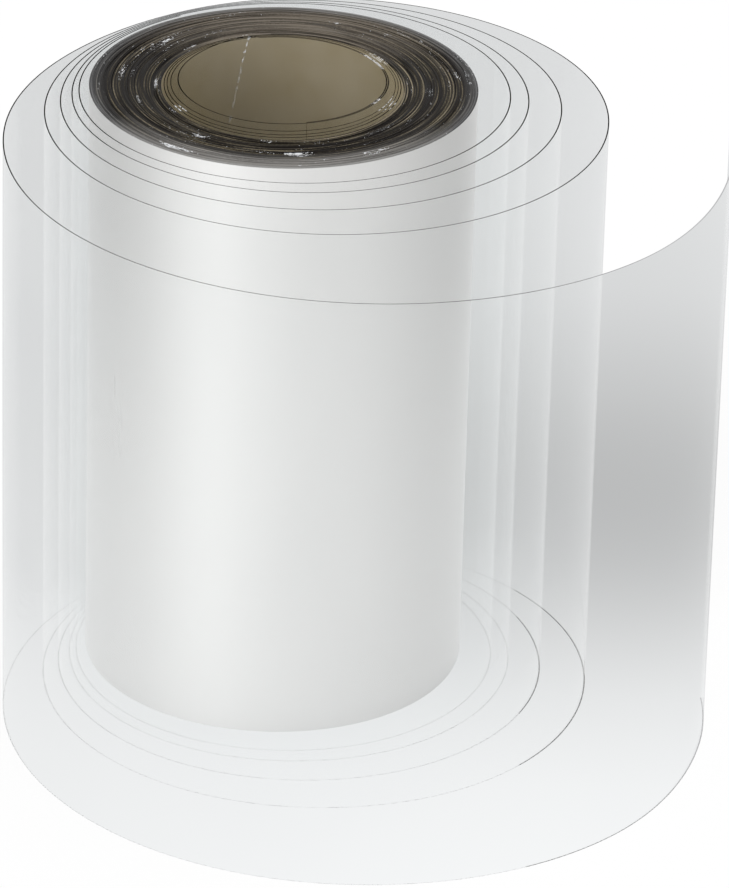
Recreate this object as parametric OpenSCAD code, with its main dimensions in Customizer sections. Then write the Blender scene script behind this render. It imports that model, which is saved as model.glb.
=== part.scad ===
// Roll of clear cake collar film, standing on its end, with no core.
// One strip of film, wound counter-clockwise from the inside out: four loose inner turns, a tight pack,
// five loose outer turns and a free tail. Z runs up the roll from the plane it stands on, along the pack's axis.

/* [Film] */
// Width of the film, which is the height of the standing roll
film_w = 100; // [40:5:200]
// Thickness of the film
film_t = 0.2; // [0.1:0.05:0.3]

/* [Wound pack] */
// Outer radius of the tight pack
pack_r = 30.7; // [27:0.1:60]
// Radius of the hole through the tight pack
pack_bore_r = 20.1; // [18:0.1:23]
// How far the hole lies off the pack's axis, towards the side where the inner turns stand open
bore_shift = 0.8; // [0.1:0.1:1.5]
// Bundles of turns that show on each end of the pack
bundle_count = 9; // [4:1:14]
// How far the highest bundle stands out beyond the lowest on an end of the pack
bundle_step = 0.5; // [0.1:0.1:1]
// Width of the open slits between some of the bundles
slit_w = 0.25; // [0.1:0.05:0.4]
// Depth of those slits
slit_depth = 2.5; // [1:0.5:8]

/* [Loose outer turns] */
// Direction of the side where the outer turns are pinched together, counter-clockwise from +X
pinch_angle = 124; // [0:1:359]
// Space between neighbouring turns where they are pinched or pressed together
turn_gap = 0.1; // [0.05:0.05:0.3]
// How far the first loose turn stands off the pack, opposite the pinch
outer_1 = 6.4; // [1:0.1:20]
// How far the second turn stands off the first
outer_2 = 3.6; // [1:0.1:20]
// How far the third turn stands off the second
outer_3 = 6.5; // [1:0.1:20]
// How far the fourth turn stands off the third
outer_4 = 9.3; // [1:0.1:20]
// How far the fifth turn stands off the fourth
outer_5 = 25.4; // [2:0.5:50]
// Angle by which the free tail runs on past the fifth turn's widest place
tail_sweep = 63.5; // [10:0.5:150]

/* [Loose inner turns] */
// Direction of the side where the inner turns lie against the hole's wall, counter-clockwise from +X
press_angle = 97; // [0:1:359]
// How far the outermost inner turn stands in from the hole's wall, on the open side
inner_1 = 0.8; // [0.5:0.1:2]
// How far the next inner turn stands in from that one
inner_2 = 1; // [0.5:0.1:2]
// How far the next one stands in
inner_3 = 1.4; // [0.5:0.1:2]
// How far the innermost turn stands in, on the open side
inner_4 = 2.7; // [0.5:0.1:4]
// Angle from the open side to the vertical edge where the film starts
start_sweep = 7.5; // [1:0.5:90]

/* [Hidden] */
$fn = 96;

half_turn = 180;
turn_pitch = film_t + turn_gap;
// Centre lines of the film opposite the pinch, then at the pinch, from the first loose turn outwards
outer_gaps = [outer_1, outer_2, outer_3, outer_4, outer_5];
outer_turns = len(outer_gaps);
outer_far = [for (k = [0:outer_turns - 1]) pack_r + total(outer_gaps, k)];
outer_near = [for (k = [0:outer_turns]) pack_r + k * turn_pitch];
// Centre lines of the film on the open side, then on the pressed side, from the pack inwards
inner_gaps = [inner_1, inner_2, inner_3, inner_4];
inner_turns = len(inner_gaps);
hole_open = pack_bore_r + bore_shift;
hole_pressed = pack_bore_r - bore_shift;
inner_open = [for (k = [0:inner_turns - 1]) hole_open - total(inner_gaps, k)];
inner_pressed = [for (k = [0:inner_turns]) hole_pressed - k * turn_pitch];
// The film starts one pitch inside the innermost turn's own end
start_open = inner_open[inner_turns - 1] - turn_pitch;
bundle_w = (pack_r - hole_open) / bundle_count;
// The stagger of the bundles runs through this many levels, in steps of this stride
stagger_levels = 5;
stagger_stride = 3;
// Bundles from one slit to the next, and the first bundle with a slit at its outer side
slit_every = 3;
first_slit = 1;
// How far the hole's cutter runs past each end of the pack
cut_past = 1;

// Sum of the first k + 1 entries of a list
function total(list, k) = k < 0 ? 0 : list[k] + total(list, k - 1);

// How far the end of bundle i lies back from the edge of the film. The outermost and innermost bundles
// lie halfway, and the ones between them step up and down.
function setback(i) =
    i == 0 || i == bundle_count - 1
        ? bundle_step / 2
        : bundle_step * ((i * stagger_stride) % stagger_levels) / (stagger_levels - 1);

// Is there a slit at the outer side of bundle i?
function has_slit(i) = i < bundle_count - 1 && i % slit_every == first_slit;

// Outline of one end of the pack, outwards from inside the hole's edge: [radius, distance in from the end]
function end_profile() = [
    for (i = [0:bundle_count - 1])
        let (r0 = hole_open + i * bundle_w, r1 = r0 + bundle_w, cut = has_slit(i) ? slit_w : 0)
            each concat(
                [[i == 0 ? hole_pressed - bundle_w : r0, setback(i)], [r1 - cut, setback(i)]],
                has_slit(i) ? [[r1 - cut, slit_depth], [r1, slit_depth]] : []
            )
];

// A stretch of film along one arc. The arc's circle crosses the X axis at near and at -far.
module film_arc(near, far, start, sweep) {
    translate([(near - far) / 2, 0, 0])
        rotate_extrude(angle = sweep, start = start)
            translate([(near + far - film_t) / 2, 0])
                square([film_t, film_w]);
}

// The tight turns between the hole, which lies a little off their axis, and the loose turns
module wound_pack() {
    ends = end_profile();
    last = len(ends) - 1;
    lower = [for (p = ends) [p[0], p[1]]];
    upper = [for (i = [last:-1:0]) [ends[i][0], film_w - ends[i][1]]];
    difference() {
        rotate_extrude()
            polygon(concat(lower, upper));
        rotate([0, 0, press_angle])
            translate([-bore_shift, 0, -cut_past])
                cylinder(r = pack_bore_r, h = film_w + 2 * cut_past);
    }
}

// Half turns from the pack out to the tail, each tangent to the next
module outer_spiral() {
    rotate([0, 0, pinch_angle]) {
        for (k = [0:outer_turns - 1]) {
            film_arc(outer_near[k], outer_far[k], 0, half_turn);
            film_arc(
                outer_near[k + 1], outer_far[k], half_turn,
                k < outer_turns - 1 ? half_turn : tail_sweep
            );
        }
    }
}

// Half turns from the film's start out to the pack
module inner_spiral() {
    first = inner_turns - 1;
    rotate([0, 0, press_angle]) {
        film_arc(inner_pressed[inner_turns], start_open, half_turn + start_sweep, half_turn - start_sweep);
        for (k = [first:-1:0]) {
            film_arc(inner_pressed[k + 1], inner_open[k], 0, half_turn);
            film_arc(inner_pressed[k], inner_open[k], half_turn, half_turn);
        }
    }
}

module film_roll() {
    color([0.86, 0.87, 0.87]) {
        union() {
            wound_pack();
            outer_spiral();
            inner_spiral();
        }
    }
}

film_roll();
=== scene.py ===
import math
import random

import bmesh
import bpy
from bpy.props import FloatProperty, FloatVectorProperty, IntProperty, PointerProperty
from mathutils import Matrix, Vector, noise


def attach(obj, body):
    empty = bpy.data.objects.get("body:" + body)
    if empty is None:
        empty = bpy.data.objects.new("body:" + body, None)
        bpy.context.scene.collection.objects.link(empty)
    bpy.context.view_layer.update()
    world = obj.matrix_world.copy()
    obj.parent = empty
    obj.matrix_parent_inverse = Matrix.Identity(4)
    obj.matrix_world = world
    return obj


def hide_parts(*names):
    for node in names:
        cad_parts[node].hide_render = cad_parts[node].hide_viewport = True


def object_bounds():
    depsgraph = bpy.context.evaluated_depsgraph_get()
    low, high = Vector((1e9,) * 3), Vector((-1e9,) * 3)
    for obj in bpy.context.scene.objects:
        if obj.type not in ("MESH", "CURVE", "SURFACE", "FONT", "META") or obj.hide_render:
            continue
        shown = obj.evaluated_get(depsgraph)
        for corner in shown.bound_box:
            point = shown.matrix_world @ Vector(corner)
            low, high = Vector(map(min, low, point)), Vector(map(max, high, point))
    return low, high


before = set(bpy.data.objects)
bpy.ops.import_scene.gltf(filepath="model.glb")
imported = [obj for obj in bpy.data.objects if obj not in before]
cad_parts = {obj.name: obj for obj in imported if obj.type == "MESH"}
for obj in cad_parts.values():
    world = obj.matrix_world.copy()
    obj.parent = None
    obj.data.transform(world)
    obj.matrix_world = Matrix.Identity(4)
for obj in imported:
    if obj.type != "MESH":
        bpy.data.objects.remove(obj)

bl_info = {
    "name": "Cake collar film roll",
    "version": (1, 0, 0),
    "blender": (4, 5, 0),
    "location": "3D View > Sidebar > Film roll",
    "description": "Builds a coreless roll of clear collar film, with its loose turns, and a studio for it",
    "category": "Object",
}

CAD_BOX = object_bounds()
FILM_WIDTH = CAD_BOX[1][2] - CAD_BOX[0][2]
BODY = "root"
NODE = "film_roll"
MM = 0.001
HALF_TURN = math.pi
FULL_TURN = 2 * math.pi
UP = Vector((0, 0, 1))
SENSOR_WIDTH = 36
# Kept on the crease's points for its ridge, as points far from the crease keep 0
CREASE_ZERO = 100.0


class RollShape(bpy.types.PropertyGroup):
    """Sizes of the wound film, as in the solid part but for a slightly shorter tail"""

    film_width: FloatProperty(
        name="Film width", description="Width of the film, the height of the standing roll",
        default=FILM_WIDTH, unit="LENGTH")
    film_thickness: FloatProperty(
        name="Film thickness", description="Thickness of the film", default=0.2 * MM, unit="LENGTH")
    pack_radius: FloatProperty(
        name="Pack radius", description="Outer radius of the tight turns", default=30.7 * MM, unit="LENGTH")
    bore_radius: FloatProperty(
        name="Bore radius", description="Radius of the hole through the tight turns",
        default=20.1 * MM, unit="LENGTH")
    bore_shift: FloatProperty(
        name="Bore shift", description="How far the hole lies off the axis, away from the pressed side",
        default=0.8 * MM, unit="LENGTH")
    turn_gap: FloatProperty(
        name="Turn gap", description="Space between loose turns where they are pressed together",
        default=0.1 * MM, unit="LENGTH")
    outer_gaps: FloatVectorProperty(
        name="Outer gaps", description="How far each loose outer turn stands off the one inside it",
        size=5, default=(6.4 * MM, 3.6 * MM, 6.5 * MM, 9.3 * MM, 25.4 * MM), unit="LENGTH")
    pinch_angle: FloatProperty(
        name="Pinch angle", description="Direction of the side where the outer turns meet the pack",
        default=math.radians(124), subtype="ANGLE")
    tail_sweep: FloatProperty(
        name="Tail sweep", description="Angle by which the free tail runs on past the widest place",
        default=math.radians(61), subtype="ANGLE")
    inner_gaps: FloatVectorProperty(
        name="Inner gaps", description="How far each loose inner turn stands in from the one outside it",
        size=4, default=(0.8 * MM, 1.0 * MM, 1.4 * MM, 2.7 * MM), unit="LENGTH")
    press_angle: FloatProperty(
        name="Press angle", description="Direction of the side where the inner turns lie on the hole's wall",
        default=math.radians(97), subtype="ANGLE")
    start_sweep: FloatProperty(
        name="Start sweep", description="Angle from the open side to the edge where the film starts",
        default=math.radians(7.5), subtype="ANGLE")


class RollDetail(bpy.types.PropertyGroup):
    """How finely the film is modelled, and its small irregularities"""

    half_turn_steps: IntProperty(
        name="Half turn steps", description="Faces along half a loose turn", default=96, min=24, max=200)
    rows: IntProperty(
        name="Rows", description="Faces up a loose turn", default=10, min=2, max=40)
    turn_pitch: FloatProperty(
        name="Pack pitch", description="Radial width of one tight turn", default=0.2 * MM, unit="LENGTH")
    pack_steps: IntProperty(
        name="Pack steps", description="Faces round the pack", default=180, min=60, max=300)
    stagger: FloatProperty(
        name="Stagger", description="How far the edges of the tight turns stand in and out",
        default=0.35 * MM, unit="LENGTH")
    groove: FloatProperty(
        name="Groove", description="Depth of the groove between two tight turns",
        default=0.25 * MM, unit="LENGTH")
    squeeze: FloatProperty(
        name="Squeeze", description="Share by which the hole is narrowed from side to side",
        default=0.05, min=0.0, max=0.1)
    drift: FloatProperty(
        name="Drift", description="How far the narrowed hole lies to one side",
        default=0.3 * MM, unit="LENGTH")
    ripple: FloatProperty(
        name="Ripple", description="How far the loose film strays from a true arc",
        default=0.12 * MM, unit="LENGTH")
    tail_draw: FloatProperty(
        name="Tail draw", description="How far the end of the tail is drawn in from a true arc",
        default=0.9 * MM, unit="LENGTH")
    crease_height: FloatProperty(
        name="Crease height", description="How far the crease stands out at the film's edge",
        default=1.0 * MM, unit="LENGTH")
    crease_length: FloatProperty(
        name="Crease length", description="How far down the film the crease runs",
        default=15 * MM, unit="LENGTH")


class FilmLook(bpy.types.PropertyGroup):
    """Colours of the film"""

    side_color: FloatVectorProperty(
        name="Pack side", description="Colour of the tight turns seen from the side",
        size=3, default=(0.71, 0.71, 0.70), subtype="COLOR")
    end_color: FloatVectorProperty(
        name="Pack end", description="Colour of the tight turns' edges",
        size=3, default=(0.007, 0.0052, 0.004), subtype="COLOR")
    line_color: FloatVectorProperty(
        name="Pack end lines", description="Colour of the palest of the tight turns' edges",
        size=3, default=(0.27, 0.23, 0.16), subtype="COLOR")
    rim_color: FloatVectorProperty(
        name="Pack rim", description="Colour of the outermost tight turns' edges",
        size=3, default=(0.145, 0.145, 0.147), subtype="COLOR")
    # The hole wall's olive is raised to paint the light that comes through the turns
    bore_color_and_painted_light: FloatVectorProperty(
        name="Hole wall", description="Colour of the hole's wall",
        size=3, default=(0.385, 0.32, 0.20), subtype="COLOR")
    reflection: FloatProperty(
        name="Reflection", description="Share of light that one face of the film reflects head-on",
        default=0.018, min=0.0, max=0.2)
    edge_color: FloatVectorProperty(
        name="Film edge", description="Colour of a loose turn's cut edge",
        size=3, default=(0.008, 0.007, 0.006), subtype="COLOR")


class StudioSetup(bpy.types.PropertyGroup):
    """Camera, lamps and floor"""

    lens: FloatProperty(name="Lens", description="Focal length for a 36 mm sensor", default=287.1, min=1)
    camera_place: FloatVectorProperty(
        name="Camera place", description="Where the camera stands", size=3,
        default=(0.014235, -1.01757, 0.56265), subtype="XYZ")
    camera_pitch: FloatProperty(
        name="Camera pitch", description="How far the camera looks down",
        default=0.4771985, subtype="ANGLE")
    camera_roll: FloatProperty(
        name="Camera roll", description="How far the camera leans to one side",
        default=0.0268786, subtype="ANGLE")
    world_strength: FloatProperty(
        name="World strength", description="Strength of the light from all round", default=0.75, min=0)
    key_power: FloatProperty(
        name="Key power", description="Power of the large lamp", default=7.5, min=0, unit="POWER")
    floor_radius: FloatProperty(
        name="Floor radius", description="Radius of the pale floor", default=4.0, unit="LENGTH")


def shape():
    return bpy.context.scene.roll_shape


def detail():
    return bpy.context.scene.roll_detail


def look():
    return bpy.context.scene.film_look


def add_node(tree, kind, inputs=None, **settings):
    """A node with its settings and its inputs, each of which is a value or another node's output"""
    made = tree.nodes.new(kind)
    for name, value in settings.items():
        setattr(made, name, value)
    for name, value in (inputs or {}).items():
        socket = made.inputs[name]
        if isinstance(value, bpy.types.NodeSocket):
            tree.links.new(value, socket)
        else:
            socket.default_value = value
    return made


def math_node(tree, operation, first, second=0.0, clamp=False):
    return add_node(
        tree, "ShaderNodeMath", {0: first, 1: second}, operation=operation, use_clamp=clamp).outputs[0]


def map_range(tree, value, from_min, from_max, to_min, to_max):
    return add_node(tree, "ShaderNodeMapRange", {
        "Value": value, "From Min": from_min, "From Max": from_max,
        "To Min": to_min, "To Max": to_max}).outputs["Result"]


def blend_colors(tree, factor, first, second):
    made = add_node(tree, "ShaderNodeMix", {"Factor": factor}, data_type="RGBA")
    for socket, value in ((made.inputs[6], first), (made.inputs[7], second)):
        if isinstance(value, bpy.types.NodeSocket):
            tree.links.new(value, socket)
        else:
            socket.default_value = (*value, 1)
    return made.outputs[2]


def scaled(color, level):
    """A colour made darker or lighter by a factor"""
    return tuple(level * part for part in color)


def color_ramp(tree, value, stops, interpolation="LINEAR"):
    """A scale of colours along a value: (place from 0 to 1, colour)"""
    made = add_node(tree, "ShaderNodeValToRGB", {"Fac": value})
    ramp = made.color_ramp
    ramp.interpolation = interpolation
    ramp.elements[0].position = stops[0][0]
    ramp.elements[1].position = stops[-1][0]
    for place, _ in stops[1:-1]:
        ramp.elements.new(place)
    for stop, (_, color) in zip(ramp.elements, stops):
        stop.color = (*color, 1)
    return made.outputs["Color"]


def new_material(name):
    """A material with a lone output node"""
    made = bpy.data.materials.new(name)
    made.use_nodes = True
    made.node_tree.nodes.clear()
    output = made.node_tree.nodes.new("ShaderNodeOutputMaterial")
    return made, made.node_tree, output


def polar(tree):
    """The object's own coordinates, and the radius, angle and height in them"""
    place = add_node(tree, "ShaderNodeTexCoord").outputs["Object"]
    split = add_node(tree, "ShaderNodeSeparateXYZ", {"Vector": place})
    x, y, z = split.outputs
    squares = math_node(tree, "ADD", math_node(tree, "MULTIPLY", x, x), math_node(tree, "MULTIPLY", y, y))
    radius = math_node(tree, "SQRT", squares)
    angle = math_node(tree, "ARCTAN2", y, x)
    return place, radius, angle, z


def round_place(tree, angle, around, across, stretch):
    """Coordinates for a pattern that follows the turns, with no seam: the angle enters as a direction"""
    along_x = math_node(tree, "MULTIPLY", math_node(tree, "COSINE", angle), around)
    along_y = math_node(tree, "MULTIPLY", math_node(tree, "SINE", angle), around)
    third = math_node(tree, "MULTIPLY", across, stretch)
    return add_node(tree, "ShaderNodeCombineXYZ", {"X": along_x, "Y": along_y, "Z": third}).outputs[0]


def attribute(tree, name):
    """A number stored on the piece's own points"""
    return add_node(tree, "ShaderNodeAttribute", attribute_name=name).outputs["Fac"]


def loose_film(creased=False):
    """Clear film: what is behind it, under a reflection that grows towards the silhouette.
    The innermost turn's film is also whitened along its crease."""
    made, tree, output = new_material("creased_film" if creased else "loose_film")
    place = add_node(tree, "ShaderNodeTexCoord").outputs["Object"]
    facing = add_node(tree, "ShaderNodeLayerWeight", {"Blend": 0.5}).outputs["Facing"]
    grazing = math_node(tree, "POWER", facing, 4.0)
    clouds = add_node(tree, "ShaderNodeTexNoise", {
        "Vector": place, "Scale": 45.0, "Detail": 0.0}).outputs["Fac"]
    smudge = map_range(tree, clouds, 0.5, 0.8, 0.0, 1.0)
    reflect = map_range(tree, grazing, 0.0, 1.0, look().reflection, 0.17)
    share = math_node(tree, "ADD", reflect, math_node(tree, "MULTIPLY", smudge, 0.008))
    clear = add_node(tree, "ShaderNodeBsdfTransparent", {"Color": (0.996, 0.997, 0.997, 1)})
    gloss = add_node(tree, "ShaderNodeBsdfPrincipled", {
        "Base Color": blend_colors(tree, smudge, (0.91, 0.92, 0.92), (0.80, 0.81, 0.82)),
        "Metallic": 1.0, "Roughness": 0.0})
    if creased:
        ragged = add_node(tree, "ShaderNodeTexNoise", {
            "Vector": place, "Scale": 1300.0, "Detail": 2.0, "Roughness": 0.7}).outputs["Fac"]
        off_ridge = math_node(tree, "SUBTRACT", attribute(tree, "crease"), CREASE_ZERO)
        off_ridge = math_node(tree, "ADD", math_node(tree, "ABSOLUTE", off_ridge),
                              math_node(tree, "MULTIPLY", ragged, 5.0))
        height = add_node(tree, "ShaderNodeSeparateXYZ", {"Vector": place}).outputs["Z"]
        top = shape().film_width
        worn = map_range(tree, height, top - 6 * MM, top - 3 * MM, 0.28, 0.95)
        white = math_node(tree, "MULTIPLY", worn, map_range(tree, off_ridge, 2.35, 2.8, 1.0, 0.0))
        share = math_node(tree, "MAXIMUM", share, white, clamp=True)
        tree.links.new(map_range(tree, white, 0.0, 0.2, 1.0, 0.0), gloss.inputs["Metallic"])
        tree.links.new(map_range(tree, white, 0.0, 0.2, 0.0, 0.4), gloss.inputs["Roughness"])
    mixed = add_node(tree, "ShaderNodeMixShader", {"Fac": share})
    tree.links.new(clear.outputs[0], mixed.inputs[1])
    tree.links.new(gloss.outputs[0], mixed.inputs[2])
    tree.links.new(mixed.outputs[0], output.inputs["Surface"])
    return made


def film_edge():
    """The cut edge of a loose turn, which carries little light: paler at the outer turns' front and
    along the tail as painted highlight, chipped white here and there"""
    made, tree, output = new_material("film_edge")
    place, radius, angle, _ = polar(tree)
    streaks = add_node(tree, "ShaderNodeTexNoise", {
        "Vector": place, "Scale": 220.0, "Detail": 3.0, "Roughness": 0.6}).outputs["Fac"]
    dark = look().edge_color
    color = blend_colors(tree, map_range(tree, streaks, 0.5, 0.8, 0.0, 1.0), dark, scaled(dark, 4.0))
    # Painted highlight on the outer turns' cut edges at the front
    front = map_range(tree, math_node(tree, "SINE", angle), -0.6, -1.0, 0.0, 0.5)
    loose = map_range(tree, radius, shape().pack_radius, shape().pack_radius + 3 * MM, 0.0, 1.0)
    color = blend_colors(tree, math_node(tree, "MULTIPLY", front, loose), color, (0.34, 0.34, 0.34))
    # Painted highlight along the tail's cut edge
    x = add_node(tree, "ShaderNodeSeparateXYZ", {"Vector": place}).outputs["X"]
    right = map_range(tree, x, 35 * MM, 58 * MM, 0.0, 0.9)
    past_turns = map_range(tree, radius, 60 * MM, 64 * MM, 0.0, 1.0)
    color = blend_colors(tree, math_node(tree, "MULTIPLY", right, past_turns), color, (0.50, 0.50, 0.51))
    chips = add_node(tree, "ShaderNodeTexNoise", {
        "Vector": place, "Scale": 1500.0, "Detail": 3.0, "Roughness": 0.7}).outputs["Fac"]
    chips = math_node(tree, "ADD", chips, math_node(tree, "MULTIPLY", attribute(tree, "chip"), 0.3))
    color = blend_colors(tree, map_range(tree, chips, 0.74, 0.78, 0.0, 0.9), color, (0.74, 0.75, 0.76))
    surface = add_node(tree, "ShaderNodeBsdfPrincipled", {
        "Base Color": color, "Roughness": map_range(tree, streaks, 0.3, 0.7, 0.4, 0.6),
        "Specular IOR Level": 0.0})
    tree.links.new(surface.outputs[0], output.inputs["Surface"])
    return made


def pack_side():
    """The outside of the tight turns: silvery, in broad upright bands of painted highlight and shade,
    paler towards the bottom as painted light from the pale floor, and darker just under its top rim"""
    made, tree, output = new_material("pack_side")
    _, _, angle, height = polar(tree)
    base = look().side_color
    # Painted highlight and shade: a bright band where the key lamp shines, darker bands beside it, repeated
    # round the roll
    bands = ((0.0, 0.63), (0.09, 0.62), (0.135, 0.80), (0.165, 1.00), (0.195, 1.21), (0.225, 1.14),
             (0.27, 1.01), (0.33, 1.02), (0.38, 0.88), (0.43, 0.73), (0.50, 0.80), (0.56, 1.04),
             (0.64, 0.86), (0.72, 0.78), (0.79, 1.02), (0.85, 0.90), (0.93, 0.77), (1.0, 0.80))
    color = color_ramp(tree, map_range(tree, angle, -math.pi, math.pi, 0.0, 1.0),
                       [(place, scaled(base, level)) for place, level in bands], "B_SPLINE")
    streaks = add_node(tree, "ShaderNodeTexNoise", {
        "Vector": round_place(tree, angle, 34.0, height, 6.0),
        "Scale": 1.0, "Detail": 3.0}).outputs["Fac"]
    clouds = add_node(tree, "ShaderNodeTexNoise", {
        "Vector": round_place(tree, angle, 3.0, height, 22.0),
        "Scale": 1.0, "Detail": 4.0, "Roughness": 0.6}).outputs["Fac"]
    darker = scaled(base, 0.72)
    color = blend_colors(tree, map_range(tree, streaks, 0.5, 0.8, 0.0, 0.02), color, darker)
    color = blend_colors(tree, map_range(tree, clouds, 0.5, 0.8, 0.0, 0.10), color, darker)
    # Painted light from the pale floor: paler towards the bottom
    low = map_range(tree, height, 0.0, 85 * MM, 0.50, 0.0)
    color = blend_colors(tree, low, color, (0.96, 0.96, 0.95))
    below = math_node(tree, "SUBTRACT", shape().film_width, height)
    under_rim = map_range(tree, below, 0.1 * MM, 0.5 * MM, 0.5, 0.0)
    color = blend_colors(tree, math_node(tree, "POWER", under_rim, 1.5), color, look().rim_color)
    surface = add_node(tree, "ShaderNodeBsdfPrincipled", {
        "Base Color": color, "Roughness": map_range(tree, clouds, 0.3, 0.7, 0.27, 0.32), "IOR": 1.5})
    tree.links.new(surface.outputs[0], output.inputs["Surface"])
    return made


def turn_noise(tree, angle, turn, per_turn, around, detail_levels):
    """Noise that runs along each tight turn's edge and changes from one turn to the next"""
    return add_node(tree, "ShaderNodeTexNoise", {
        "Vector": round_place(tree, angle, around, turn, per_turn),
        "Scale": 1.0, "Detail": detail_levels, "Roughness": 0.7}).outputs["Fac"]


def pack_end():
    """The edges of the tight turns: near black, line by line, greyer towards the outside, paler at the
    front as painted sheen and highlight and at the back as painted light from behind, chipped white here and
    there"""
    made, tree, output = new_material("pack_end")
    _, _, angle, _ = polar(tree)
    sine = math_node(tree, "SINE", angle)
    turn = attribute(tree, "turn")
    count = turn_count()
    index = math_node(tree, "FLOOR", turn)
    bundles = turn_noise(tree, angle, index, 0.38, 1.2, 1.0)
    single = turn_noise(tree, angle, index, 5.3, 1.6, 1.0)
    grit = turn_noise(tree, angle, turn, 2.1, 60.0, 1.0)
    tone = math_node(tree, "ADD", math_node(tree, "MULTIPLY", bundles, 0.6),
                     math_node(tree, "MULTIPLY", single, 0.8))
    tone = math_node(tree, "ADD", tone, math_node(tree, "MULTIPLY", grit, 0.35))
    every_other = math_node(tree, "MULTIPLY", math_node(tree, "MODULO", index, 2.0), 0.18)
    tone = math_node(tree, "SUBTRACT", math_node(tree, "ADD", tone, every_other), 0.51)
    left_side = map_range(tree, math_node(tree, "COSINE", angle), -0.2, -1.0, 0.0, 0.03)
    tone = math_node(tree, "SUBTRACT", tone, left_side)
    near_hole = math_node(tree, "MULTIPLY", map_range(tree, turn, 0.0, 7.0, 0.11, 0.0),
                          map_range(tree, sine, -0.2, 0.7, 1.0, 0.2))
    tone = math_node(tree, "ADD", tone, near_hole)
    dark = look().end_color
    pale = look().line_color
    color = color_ramp(tree, tone, (
        (0.41, dark), (0.48, scaled(dark, 2.0)), (0.54, scaled(pale, 0.14)),
        (0.62, scaled(pale, 0.32)), (0.78, pale)))
    # Painted light from behind: the far side's edges paler
    lit = map_range(tree, sine, 0.45, 0.95, 0.0, 1.0)
    lit = math_node(tree, "MULTIPLY", lit, map_range(tree, tone, 0.40, 0.54, 0.4, 1.0))
    color = blend_colors(tree, lit, color, (0.18, 0.155, 0.125))
    front = map_range(tree, sine, -0.45, -0.95, 0.0, 1.0)
    rim = map_range(tree, turn, count - 11.0, count - 2.0, 0.0, 1.0)
    rim = math_node(tree, "MULTIPLY", rim, map_range(tree, tone, 0.42, 0.56, 0.4, 1.0))
    color = blend_colors(tree, rim, color, look().rim_color)
    # Painted sheen: a greyer band near the outside at the front
    front_rim_sheen = map_range(tree, turn, count - 23.0, count - 14.0, 0.0, 0.9)
    front_rim_sheen = math_node(tree, "MULTIPLY", front_rim_sheen, map_range(tree, tone, 0.36, 0.5, 0.65, 1.0))
    front_rim_sheen = math_node(tree, "MULTIPLY", front, front_rim_sheen)
    color = blend_colors(tree, front_rim_sheen, color, (0.29, 0.28, 0.265))
    # Painted highlight: the outermost edges paler at the front and the back
    back = map_range(tree, sine, 0.5, 1.0, 0.0, 0.6)
    lip_highlight = math_node(tree, "MULTIPLY", math_node(tree, "MAXIMUM", front, back),
                    map_range(tree, turn, count - 6.0, count, 0.0, 0.8))
    color = blend_colors(tree, lip_highlight, color, (0.38, 0.38, 0.37))
    patches = turn_noise(tree, angle, turn, 0.16, 2.6, 2.0)
    chips = turn_noise(tree, angle, turn, 1.2, 44.0, 3.0)
    scattered = map_range(tree, patches, 0.50, 0.66, -0.1, 0.06)
    chips = math_node(tree, "ADD", chips, math_node(tree, "ADD", scattered, math_node(
        tree, "MULTIPLY", attribute(tree, "chip"), 0.20)))
    color = blend_colors(tree, map_range(tree, chips, 0.665, 0.685, 0.0, 0.95), color, (0.80, 0.81, 0.83))
    surface = add_node(tree, "ShaderNodeBsdfPrincipled", {
        "Base Color": color, "Roughness": map_range(tree, tone, 0.4, 0.6, 0.4, 0.65),
        "Specular IOR Level": 0.06})
    tree.links.new(surface.outputs[0], output.inputs["Surface"])
    return made


def pack_bore():
    """The wall of the hole: olive and mottled, brightened and paler further down as painted light that comes
    through the turns
    """
    made, tree, output = new_material("pack_bore")
    place, _, _, height = polar(tree)
    mottle = add_node(tree, "ShaderNodeTexNoise", {
        "Vector": place, "Scale": 42.0, "Detail": 4.0, "Roughness": 0.6}).outputs["Fac"]
    base = look().bore_color_and_painted_light
    color = blend_colors(tree, map_range(tree, mottle, 0.35, 0.68, 0.0, 1.0), base, (0.48, 0.42, 0.31))
    top = shape().film_width
    # Painted light that comes through the turns: paler further down
    deeper_painted_light = map_range(tree, height, top - 16 * MM, top - 22 * MM, 0.0, 0.5)
    color = blend_colors(tree, deeper_painted_light, color, (0.72, 0.63, 0.45))
    surface = add_node(tree, "ShaderNodeBsdfPrincipled", {
        "Base Color": color, "Roughness": map_range(tree, mottle, 0.3, 0.7, 0.3, 0.5),
        "Specular IOR Level": 0.25})
    tree.links.new(surface.outputs[0], output.inputs["Surface"])
    return made


def grey_ramp(tree, value, stops):
    """A smooth scale of slightly cool greys along a value from 0 to 1"""
    greys = [(place, (level, level * 1.012, level * 1.018)) for place, level in stops]
    return color_ramp(tree, value, greys, "B_SPLINE")


def seen_rays(tree):
    """1 for the rays that show the background, and 1 for those of them that have come through film, which
    show painted shade
    """
    path = add_node(tree, "ShaderNodeLightPath")
    seen = math_node(tree, "ADD", path.outputs["Is Camera Ray"], path.outputs["Is Glossy Ray"])
    seen = math_node(tree, "ADD", seen, path.outputs["Is Transmission Ray"], clamp=True)
    through = math_node(tree, "GREATER_THAN", path.outputs["Transparent Depth"], 0.5)
    through = math_node(tree, "MULTIPLY", through, path.outputs["Is Camera Ray"])
    return seen, through


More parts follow.
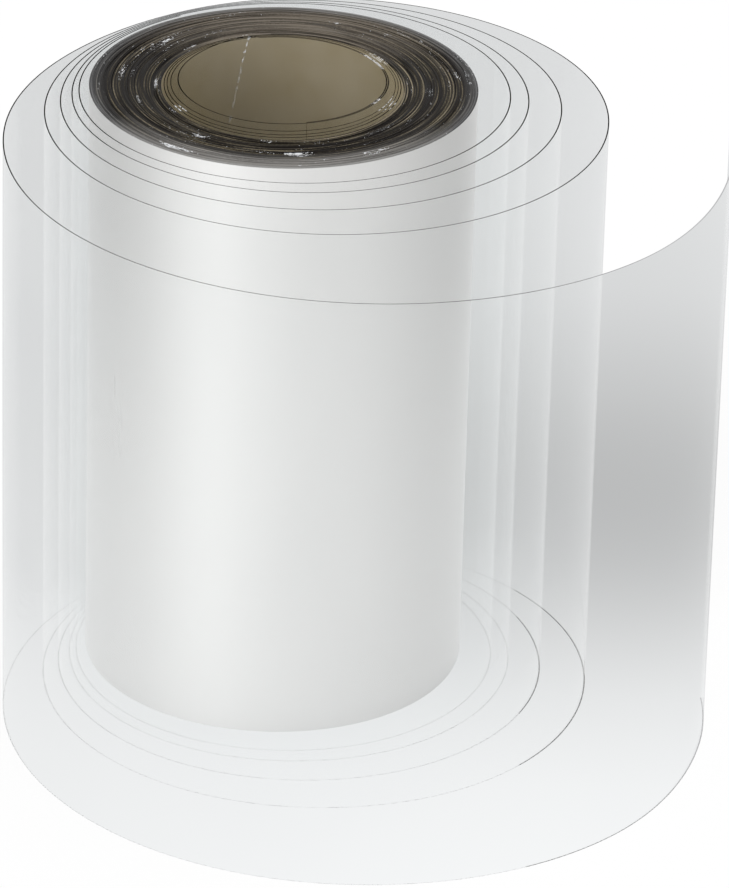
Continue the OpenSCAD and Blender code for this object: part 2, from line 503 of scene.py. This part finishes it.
def pale_floor():
    """A pale floor with the roll's soft shadow: white where it is seen directly, painted shade through film
    """
    made, tree, output = new_material("pale_floor")
    seen, through = seen_rays(tree)
    place = add_node(tree, "ShaderNodeTexCoord").outputs["Object"]
    x, y, _ = add_node(tree, "ShaderNodeSeparateXYZ", {"Vector": place}).outputs
    # Painted shade through film: greys that change from front to back and from left to right; the dip in the
    # right-hand scale is a painted shadow of the roll
    back = map_range(tree, y, -0.10, 0.20, 0.0, 1.0)
    left = grey_ramp(tree, back, ((0.0, 0.87), (0.20, 0.83), (0.32, 0.77), (0.42, 0.71),
                                  (0.60, 0.67), (1.0, 0.70)))
    right = grey_ramp(tree, back, ((0.0, 0.94), (0.18, 0.88), (0.28, 0.78), (0.36, 0.63), (0.44, 0.50),
                                   (0.53, 0.455), (0.64, 0.53), (0.78, 0.68), (1.0, 0.72)))
    side = map_range(tree, x, -0.035, 0.05, 0.0, 1.0)
    grey = add_node(tree, "ShaderNodeMix", {"Factor": side}, data_type="RGBA")
    tree.links.new(left, grey.inputs[6])
    tree.links.new(right, grey.inputs[7])
    # Through film the floor shows this painted shade and shadow instead of its own lit colour
    strength = blend_colors(tree, through, (1.0, 1.0, 1.0), grey.outputs[2])
    glow = add_node(tree, "ShaderNodeEmission", {"Color": strength, "Strength": 1.02})
    matt = add_node(tree, "ShaderNodeBsdfDiffuse", {"Color": (0.88, 0.88, 0.88, 1)})
    matt_share = math_node(tree, "MULTIPLY", math_node(tree, "SUBTRACT", 1.0, through), 0.22)
    glow_share = math_node(tree, "SUBTRACT", seen, matt_share, clamp=True)
    mixed = add_node(tree, "ShaderNodeMixShader", {"Fac": glow_share})
    tree.links.new(matt.outputs[0], mixed.inputs[1])
    tree.links.new(glow.outputs[0], mixed.inputs[2])
    tree.links.new(mixed.outputs[0], output.inputs["Surface"])
    return made


def material(name, maker):
    """The material of that name, made the first time it is asked for"""
    return bpy.data.materials.get(name) or maker()


def finish_piece(name, bm, materials, shades=True):
    """An object at the origin from a finished bmesh, riding with the roll in place of the plain solid.
    Clear film neither shades nor tints the light that goes through it."""
    weld = 1e-7
    sharp = math.radians(35)
    bmesh.ops.remove_doubles(bm, verts=bm.verts[:], dist=weld)
    bmesh.ops.recalc_face_normals(bm, faces=bm.faces[:])
    for edge in bm.edges:
        if len(edge.link_faces) == 2 and edge.calc_face_angle(0.0) > sharp:
            edge.smooth = False
    for face in bm.faces:
        face.smooth = True
    mesh = bpy.data.meshes.new(name)
    bm.to_mesh(mesh)
    bm.free()
    for item in materials:
        mesh.materials.append(item)
    piece = bpy.data.objects.new(name, mesh)
    bpy.context.scene.collection.objects.link(piece)
    piece.visible_shadow = shades
    piece.visible_diffuse = shades
    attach(piece, BODY)
    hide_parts(NODE)
    return piece


def arc_of(near, far):
    """Centre and radius of the circle that crosses the X axis at near and at -far"""
    return Vector(((near - far) / 2, 0, 0)), (near + far) / 2


def spin_strip(bm, loop, arcs, steps):
    """Sweeps a closed loop of edges round each arc in turn: (near, far, angle to turn through)"""
    geom = loop
    for near, far, sweep in arcs:
        centre, _ = arc_of(near, far)
        done = bmesh.ops.spin(
            bm, geom=geom, cent=centre, axis=UP, dvec=(0, 0, 0), angle=sweep,
            space=Matrix.Identity(4), steps=max(2, round(steps * sweep / HALF_TURN)),
            use_merge=False, use_normal_flip=False, use_duplicate=False)
        geom = done["geom_last"]


def section_loop(bm, radius, direction, heights):
    """The film's own section, standing up at a place on the X axis: a closed loop of edges"""
    half = shape().film_thickness / 2
    places = [Vector((direction * (radius - half), 0, z)) for z in heights]
    places += [Vector((direction * (radius + half), 0, z)) for z in reversed(heights)]
    verts = [bm.verts.new(place) for place in places]
    edges = [bm.edges.new((verts[i - 1], verts[i])) for i in range(len(verts))]
    return verts + edges


def add_rows(bm, low, high, rows):
    """Divides the upright edges that run from one height to another into rows"""
    upright = [edge for edge in bm.edges
               if {low, high} == {round(vert.co.z, 6) for vert in edge.verts}]
    bmesh.ops.subdivide_edges(bm, edges=upright, cuts=rows - 1, use_grid_fill=True)


def outer_arcs():
    """The loose outer turns as half-turn arcs, from the pack to the end of the tail"""
    sizes = shape()
    pitch = sizes.film_thickness + sizes.turn_gap
    near = sizes.pack_radius
    far = sizes.pack_radius
    arcs = []
    for index, gap in enumerate(sizes.outer_gaps):
        far += gap
        arcs.append((near, far, HALF_TURN))
        near += pitch
        last = index == len(sizes.outer_gaps) - 1
        arcs.append((near, far, sizes.tail_sweep if last else HALF_TURN))
    return arcs


def inner_arcs():
    """The loose inner turns as arcs, from the film's start out to the pack"""
    sizes = shape()
    pitch = sizes.film_thickness + sizes.turn_gap
    count = len(sizes.inner_gaps)
    opened = [sizes.bore_radius + sizes.bore_shift - sum(sizes.inner_gaps[:k + 1]) for k in range(count)]
    pressed = [sizes.bore_radius - sizes.bore_shift - k * pitch for k in range(count + 1)]
    arcs = [(pressed[-1], opened[-1] - pitch, HALF_TURN - sizes.start_sweep)]
    for k in reversed(range(count)):
        arcs.append((pressed[k + 1], opened[k], HALF_TURN))
        arcs.append((pressed[k], opened[k], HALF_TURN))
    return arcs


def ripple(bm, amount, seed):
    """Moves loose film in and out a little, in slow waves that run up and along it"""
    along, up = 28, 9
    for vert in bm.verts:
        flat = Vector((vert.co.x, vert.co.y, 0))
        if flat.length == 0:
            continue
        wave = noise.noise(Vector((flat.x * along, flat.y * along, vert.co.z * up + seed)))
        vert.co += flat.normalized() * wave * amount


def smooth_step(share):
    """Eases a share in and out between 0 and 1"""
    share = min(1.0, max(0.0, share))
    return share * share * (3 - 2 * share)


def draw_in_tail(bm):
    """Draws the end of the tail in a little from its arc"""
    near, far, _ = outer_arcs()[-1]
    centre, radius = arc_of(near, far)
    begin, length = math.radians(10), math.radians(35)
    for vert in bm.verts:
        inwards = Vector((centre.x - vert.co.x, centre.y - vert.co.y, 0))
        angle = math.atan2(inwards.y, inwards.x)
        on_arc = abs(inwards.length - radius) < shape().film_thickness
        if on_arc and begin < angle < HALF_TURN / 2:
            share = smooth_step((angle - begin) / length)
            vert.co += inwards.normalized() * detail().tail_draw * share


def edges_to_slot(bm, slot):
    """Gives the film's cut edges, on its rims and where it starts in the hole, their own material.
    The tail's upright end stays as clear as the film, and at the pack's walls the film runs on."""
    sizes = shape()
    clear_of_wall = 2 * MM
    end_width = 1.5 * sizes.film_thickness
    flat = 0.7
    for face in bm.faces:
        first = face.verts[0].co
        across = max(math.hypot(v.co.x - first.x, v.co.y - first.y) for v in face.verts)
        in_hole = math.hypot(first.x, first.y) < sizes.bore_radius - clear_of_wall
        cut = abs(face.normal.z) > flat or (in_hole and across < end_width)
        face.material_index = slot if cut else 0


class ROLL_OT_outer_turns(bpy.types.Operator):
    """Build the five loose outer turns and the free tail"""

    bl_idname = "collar_roll.outer_turns"
    bl_label = "Outer turns"

    def execute(self, context):
        sizes = shape()
        fine = detail()
        top = round(sizes.film_width, 6)
        bm = bmesh.new()
        start = section_loop(bm, sizes.pack_radius, 1, (0.0, top))
        spin_strip(bm, start, outer_arcs(), fine.half_turn_steps)
        close_ends(bm)
        add_rows(bm, 0.0, top, fine.rows)
        bmesh.ops.recalc_face_normals(bm, faces=bm.faces[:])
        edges_to_slot(bm, 1)
        draw_in_tail(bm)
        bmesh.ops.rotate(bm, verts=bm.verts[:], cent=(0, 0, 0),
                         matrix=Matrix.Rotation(sizes.pinch_angle, 3, "Z"))
        ripple(bm, fine.ripple, 0.0)
        finish_piece("outer_turns", bm, [
            material("loose_film", loose_film), material("film_edge", film_edge)], shades=False)
        return {"FINISHED"}


def close_ends(bm):
    """Caps the two open ends of a swept strip"""
    rim = [edge for edge in bm.edges if len(edge.link_faces) == 1]
    bmesh.ops.holes_fill(bm, edges=rim, sides=0)


def crease_film(bm, centre, radius):
    """Presses the crease out of the innermost turn: sharp at the film's top edge, gone further down.
    Each point there keeps how many degrees it lies off the ridge, for the whitened line."""
    sizes = shape()
    fine = detail()
    top_ridge = math.radians(12.5)
    lean = math.radians(13)
    rise, fall = math.radians(6), math.radians(44)
    off_ridge = bm.verts.layers.float.new("crease")
    for vert in bm.verts:
        offset = vert.co - centre
        reach = math.hypot(offset.x, offset.y)
        if abs(reach - radius) > sizes.film_thickness:
            continue
        depth = (sizes.film_width - vert.co.z) / fine.crease_length
        if depth > 1:
            continue
        angle = math.atan2(offset.y, offset.x)
        ridge = top_ridge + lean * depth
        vert[off_ridge] = CREASE_ZERO + math.degrees(angle - ridge)
        if ridge - rise < angle < ridge:
            push = 1 - (ridge - angle) / rise
        elif ridge <= angle < ridge + fall:
            # Steep beside the ridge, then shallower
            push = 1 - (angle - ridge) / fall
            push *= 0.35 + 0.65 * push
        else:
            continue
        outwards = Vector((offset.x, offset.y, 0)).normalized()
        vert.co += outwards * fine.crease_height * push * (1 - depth) ** 1.3


class ROLL_OT_inner_turns(bpy.types.Operator):
    """Build the four loose inner turns, with the crease in the innermost one"""

    bl_idname = "collar_roll.inner_turns"
    bl_label = "Inner turns"

    def execute(self, context):
        sizes = shape()
        fine = detail()
        top = round(sizes.film_width, 6)
        lower = round(sizes.film_width - fine.crease_length, 6)
        arcs = inner_arcs()
        bm = bmesh.new()
        near, far, _ = arcs[0]
        centre, _ = arc_of(near, far)
        start = section_loop(bm, far, -1, (0.0, lower, top))
        verts = [item for item in start if isinstance(item, bmesh.types.BMVert)]
        bmesh.ops.rotate(bm, verts=verts, cent=centre,
                         matrix=Matrix.Rotation(sizes.start_sweep, 3, "Z"))
        spin_strip(bm, start, arcs, fine.half_turn_steps)
        close_ends(bm)
        add_rows(bm, 0.0, lower, fine.rows // 2)
        add_rows(bm, lower, top, 2 * fine.rows)
        bmesh.ops.recalc_face_normals(bm, faces=bm.faces[:])
        edges_to_slot(bm, 1)
        crease_film(bm, *arc_of(arcs[1][0], arcs[1][1]))
        bmesh.ops.rotate(bm, verts=bm.verts[:], cent=(0, 0, 0),
                         matrix=Matrix.Rotation(sizes.press_angle, 3, "Z"))
        chip_edges(bm, INNER_CHIPS)
        squeeze_hole(bm)
        finish_piece("inner_turns", bm, [
            material("creased_film", lambda: loose_film(creased=True)),
            material("film_edge", film_edge)], shades=False)
        return {"FINISHED"}


# Where the edges are chipped white: angle and half its span in degrees, then place and half its depth,
# in turns outwards from the hole for the pack and in millimetres from the axis for the inner turns
PACK_CHIPS = (
    (236, 8, 44, 4), (238, 6, 16.5, 3), (265.5, 5, 2.5, 2.2), (174, 9, 31, 2.5), (198, 6.5, 20.5, 2),
    (182, 6, 5, 1.5), (139.5, 6.5, 7, 1.5), (141, 3.5, 25.5, 1.5), (212, 5.5, 2, 1.8), (277, 6, 29, 6),
    (302, 7, 40, 4.5), (356, 5, 20.5, 1.8), (10.5, 6.5, 40, 2.5), (9, 7, 47.5, 2.2), (15.5, 2, 35.5, 1.5),
    (0.5, 5, 7, 1.5), (49, 4, 33, 1.5), (60, 3, 40, 1.5), (71, 4, 30, 2),
)
INNER_CHIPS = ((338, 14, 17.6, 3), (34, 14, 17.6, 3), (212, 6, 19.6, 1.5))


def chip_edges(bm, chips, turn=None):
    """Stores on each point how near it is to the middle of a chipped place"""
    chip = bm.verts.layers.float.new("chip")
    for vert in bm.verts:
        angle = math.degrees(math.atan2(vert.co.y, vert.co.x))
        across = vert[turn] if turn else math.hypot(vert.co.x, vert.co.y) / MM
        for middle, span, place, depth in chips:
            off_angle = (angle - middle + 180) % 360 - 180
            near = 1.25 - (off_angle / span) ** 2 - ((across - place) / depth) ** 2
            vert[chip] = max(vert[chip], min(1.0, near))


def hole_reach(angle):
    """Distance from the pack's axis to the wall of the hole, which lies off that axis"""
    sizes = shape()
    along = -sizes.bore_shift * math.cos(angle - sizes.press_angle)
    return along + math.sqrt(sizes.bore_radius ** 2 - sizes.bore_shift ** 2 + along ** 2)


def crowd_turns(bm):
    """Sets the tight turns between the round outside and the hole, which lies off its axis"""
    sizes = shape()
    for vert in bm.verts:
        reach = math.hypot(vert.co.x, vert.co.y)
        depth = (sizes.pack_radius - reach) / (sizes.pack_radius - sizes.bore_radius)
        wall = hole_reach(math.atan2(vert.co.y, vert.co.x))
        placed = sizes.pack_radius - depth * (sizes.pack_radius - wall)
        vert.co.x *= placed / reach
        vert.co.y *= placed / reach


def squeeze_hole(bm):
    """Narrows the hole a little from side to side, and with it the turns on both sides of its wall"""
    sizes = shape()
    fine = detail()
    still = 0.82 * sizes.bore_radius
    for vert in bm.verts:
        reach = math.hypot(vert.co.x, vert.co.y)
        if reach < sizes.bore_radius:
            share = (reach - still) / (sizes.bore_radius - still)
        else:
            share = (sizes.pack_radius - reach) / (sizes.pack_radius - sizes.bore_radius)
        vert.co.x -= (vert.co.x * fine.squeeze + fine.drift) * smooth_step(share)


def turn_count():
    """Number of tight turns"""
    return round((shape().pack_radius - shape().bore_radius) / detail().turn_pitch)


def pack_outline():
    """The tight turns' section: down the bore, out under the turns' edges, up the side and back"""
    sizes = shape()
    fine = detail()
    rng = random.Random(7)
    wander, slit_chance = 0.3, 0.12
    slit_groove, slit_width, turn_width = 9, 0.55, 0.8
    count = turn_count()
    pitch = (sizes.pack_radius - sizes.bore_radius) / count
    wall_rows = 12
    ends = []
    for _ in range(2):
        level = 0.5
        turns = []
        for turn in range(count):
            level = min(1.0, max(0.0, level + rng.uniform(-wander, wander)))
            slit = rng.random() < slit_chance and 2 < turn < count - 3
            groove = fine.groove * (slit_groove if slit else 1)
            turns.append((level * fine.stagger, groove, pitch * (slit_width if slit else turn_width)))
        end = []
        for turn, (setback, groove, width) in enumerate(turns):
            inner = sizes.bore_radius + turn * pitch
            end.append((inner, setback))
            end.append((inner + width, setback))
            if turn < count - 1:
                end.append((inner + (width + pitch) / 2, setback + groove))
        end[-1] = (sizes.pack_radius, turns[-1][0])
        ends.append(end)
    bottom = ends[0]
    top = [(r, sizes.film_width - z) for r, z in reversed(ends[1])]
    wall = [(sizes.pack_radius, bottom[-1][1] + (top[0][1] - bottom[-1][1]) * i / wall_rows)
            for i in range(1, wall_rows)]
    bore = [(sizes.bore_radius, top[-1][1] + (bottom[0][1] - top[-1][1]) * i / wall_rows)
            for i in range(1, wall_rows)]
    return bottom + wall + top + bore


class ROLL_OT_pack(bpy.types.Operator):
    """Build the tight turns between the hole and the loose turns"""

    bl_idname = "collar_roll.pack"
    bl_label = "Tight pack"

    def execute(self, context):
        sizes = shape()
        fine = detail()
        bm = bmesh.new()
        verts = [bm.verts.new((r, 0, z)) for r, z in pack_outline()]
        edges = [bm.edges.new((verts[i - 1], verts[i])) for i in range(len(verts))]
        bmesh.ops.spin(
            bm, geom=verts + edges, cent=(0, 0, 0), axis=UP, dvec=(0, 0, 0), angle=FULL_TURN,
            space=Matrix.Identity(4), steps=fine.pack_steps, use_merge=True,
            use_normal_flip=False, use_duplicate=False)
        bmesh.ops.recalc_face_normals(bm, faces=bm.faces[:])
        margin = 0.02 * MM
        for face in bm.faces:
            reach = [math.hypot(v.co.x, v.co.y) for v in face.verts]
            if min(reach) > sizes.pack_radius - margin:
                face.material_index = 0
            elif max(reach) < sizes.bore_radius + margin:
                face.material_index = 2
            else:
                face.material_index = 1
        turn = bm.verts.layers.float.new("turn")
        for vert in bm.verts:
            reach = math.hypot(vert.co.x, vert.co.y)
            vert[turn] = (reach - sizes.bore_radius) / (sizes.pack_radius - sizes.bore_radius) * turn_count()
        uneven_edges(bm, turn)
        chip_edges(bm, PACK_CHIPS, turn)
        crowd_turns(bm)
        squeeze_hole(bm)
        finish_piece("tight_pack", bm, [
            material("pack_side", pack_side), material("pack_end", pack_end),
            material("pack_bore", pack_bore)])
        return {"FINISHED"}


def uneven_edges(bm, turn):
    """Lets each tight turn's edge wander up and down round the roll, never past the film's width"""
    middle = shape().film_width / 2
    away_from_ends = 0.9 * middle
    outermost = turn_count() - 1.5
    along, per_turn = 60, 3.7
    reach = 0.6 * detail().stagger
    for vert in bm.verts:
        if abs(vert.co.z - middle) < away_from_ends or vert[turn] > outermost:
            continue
        wander = noise.noise(Vector((vert.co.x * along, vert.co.y * along, round(vert[turn]) * per_turn)))
        vert.co.z -= math.copysign(abs(wander) * reach, vert.co.z - middle)


def make_camera():
    studio = bpy.context.scene.film_studio
    data = bpy.data.cameras.new("photo_view")
    data.lens = studio.lens
    data.sensor_width = SENSOR_WIDTH
    data.clip_start = 0.01
    data.clip_end = 30
    camera = bpy.data.objects.new("photo_view", data)
    bpy.context.scene.collection.objects.link(camera)
    turn = Matrix.Rotation(math.pi / 2 - studio.camera_pitch, 4, "X")
    roll = Matrix.Rotation(studio.camera_roll, 4, "Z")
    camera.matrix_world = Matrix.Translation(Vector(studio.camera_place)) @ turn @ roll
    bpy.context.scene.camera = camera


def make_lamp(name, place, aim, size, power, tint):
    data = bpy.data.lights.new(name, "AREA")
    data.shape = "RECTANGLE"
    data.size, data.size_y = size
    data.energy = power
    data.color = tint
    lamp = bpy.data.objects.new(name, data)
    bpy.context.scene.collection.objects.link(lamp)
    facing = (aim - place).to_track_quat("-Z", "Y").to_matrix().to_4x4()
    lamp.matrix_world = Matrix.Translation(place) @ facing


def make_world(strength):
    """Light from all round, white where it is seen directly and in painted grey shade through film"""
    world = bpy.data.worlds.new("studio_air")
    bpy.context.scene.world = world
    world.use_nodes = True
    tree = world.node_tree
    tree.nodes.clear()
    seen, through = seen_rays(tree)
    level = map_range(tree, seen, 0.0, 1.0, strength, 1.0)
    # Painted shade: the background seen through film is grey
    color = blend_colors(tree, through, (1.0, 1.0, 1.0), (0.64, 0.65, 0.66))
    sky = add_node(tree, "ShaderNodeBackground", {"Color": color, "Strength": level})
    output = add_node(tree, "ShaderNodeOutputWorld")
    tree.links.new(sky.outputs[0], output.inputs["Surface"])


class ROLL_OT_studio(bpy.types.Operator):
    """Build the camera, the lamps, the world and the pale floor"""

    bl_idname = "collar_roll.studio"
    bl_label = "Studio"

    def execute(self, context):
        studio = context.scene.film_studio
        make_camera()
        make_world(studio.world_strength)
        aim = Vector((0.01, -0.01, 0.05))
        white = (1, 1, 1)
        fill_power = 0.7 * studio.key_power
        make_lamp("key_left", Vector((-0.9, -0.9, 0.9)), aim, (0.5, 1.2), studio.key_power, white)
        make_lamp("top_fill", Vector((0.2, 0.5, 1.4)), aim, (1.2, 1.2), fill_power, white)
        bm = bmesh.new()
        bmesh.ops.create_circle(bm, cap_ends=True, segments=64, radius=studio.floor_radius)
        bmesh.ops.translate(bm, verts=bm.verts[:], vec=(0, 0, CAD_BOX[0][2]))
        mesh = bpy.data.meshes.new("floor")
        bm.to_mesh(mesh)
        bm.free()
        mesh.materials.append(material("pale_floor", pale_floor))
        floor = bpy.data.objects.new("floor", mesh)
        context.scene.collection.objects.link(floor)
        scene = context.scene
        scene.view_settings.view_transform = "Standard"
        scene.cycles.transparent_max_bounces = 64
        scene.cycles.max_bounces = 3
        scene.cycles.diffuse_bounces = 1
        scene.cycles.glossy_bounces = 2
        return {"FINISHED"}


class VIEW3D_PT_collar_roll(bpy.types.Panel):
    """Lists the roll's sizes and the operators that build it"""

    bl_label = "Film roll"
    bl_space_type = "VIEW_3D"
    bl_region_type = "UI"
    bl_category = "Film roll"

    def draw(self, context):
        for group in GROUPS:
            settings = getattr(context.scene, group)
            for name in settings.__annotations__:
                self.layout.prop(settings, name)
        for operator in OPERATORS:
            self.layout.operator(operator.bl_idname)


GROUPS = {
    "roll_shape": RollShape,
    "roll_detail": RollDetail,
    "film_look": FilmLook,
    "film_studio": StudioSetup,
}
OPERATORS = (ROLL_OT_pack, ROLL_OT_outer_turns, ROLL_OT_inner_turns, ROLL_OT_studio)


def register():
    for item in (*GROUPS.values(), *OPERATORS, VIEW3D_PT_collar_roll):
        bpy.utils.register_class(item)
    for name, group in GROUPS.items():
        setattr(bpy.types.Scene, name, PointerProperty(type=group))


def unregister():
    for name in GROUPS:
        delattr(bpy.types.Scene, name)
    for item in reversed((*GROUPS.values(), *OPERATORS, VIEW3D_PT_collar_roll)):
        bpy.utils.unregister_class(item)


def main():
    register()
    bpy.ops.collar_roll.pack()
    bpy.ops.collar_roll.outer_turns()
    bpy.ops.collar_roll.inner_turns()
    bpy.ops.collar_roll.studio()


if __name__ == "__main__":
    main()
